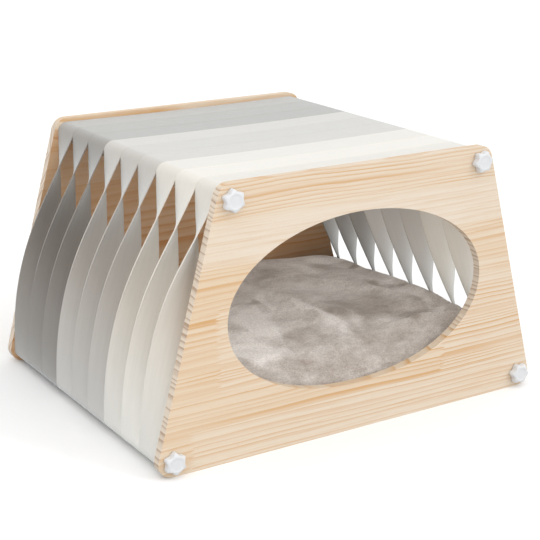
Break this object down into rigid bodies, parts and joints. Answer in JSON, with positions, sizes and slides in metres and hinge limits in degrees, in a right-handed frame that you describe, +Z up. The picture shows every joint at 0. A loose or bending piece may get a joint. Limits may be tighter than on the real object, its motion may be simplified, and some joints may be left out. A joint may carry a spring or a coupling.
{
  "type": "cat bed of twisted bands on a wooden frame",
  "caption": "Cave-shaped cat bed: trapezoid wooden end panels, oval doorway, elastic bands twisted down both sides, and a plush cushion inside.",
  "frame": {"origin": "under the middle of the bed, on the surface it stands on", "axes": "+Z up, the panel with the doorway faces -Y, the bands run from left to right along X"},
  "size_m": [0.5878, 0.4946, 0.354],
  "materials": {
    "pine": "satin clear-coated pine boards",
    "knob_white": "smooth white moulded plastic",
    "band_grey": "flat woven elastic, grey",
    "band_pale": "flat woven elastic, pale grey",
    "band_cream": "flat woven elastic, cream",
    "plush": "short taupe-grey plush"
  },
  "bodies": {
    "root": {"front_panel": "pine", "back_panel": "pine", "rod_top_left": "pine", "rod_top_right": "pine", "rod_bottom_left": "pine", "rod_bottom_right": "pine", "knob_front_top_left": "knob_white", "knob_front_top_right": "knob_white", "knob_front_bottom_left": "knob_white", "knob_front_bottom_right": "knob_white", "knob_back_top_left": "knob_white", "knob_back_top_right": "knob_white", "knob_back_bottom_left": "knob_white", "knob_back_bottom_right": "knob_white", "band_1": "band_grey", "band_2": "band_grey", "band_3": "band_grey", "band_4": "band_pale", "band_5": "band_pale", "band_6": "band_pale", "band_7": "band_cream", "band_8": "band_cream", "band_9": "band_cream", "cushion": "plush"}
  },
  "joints": []
}
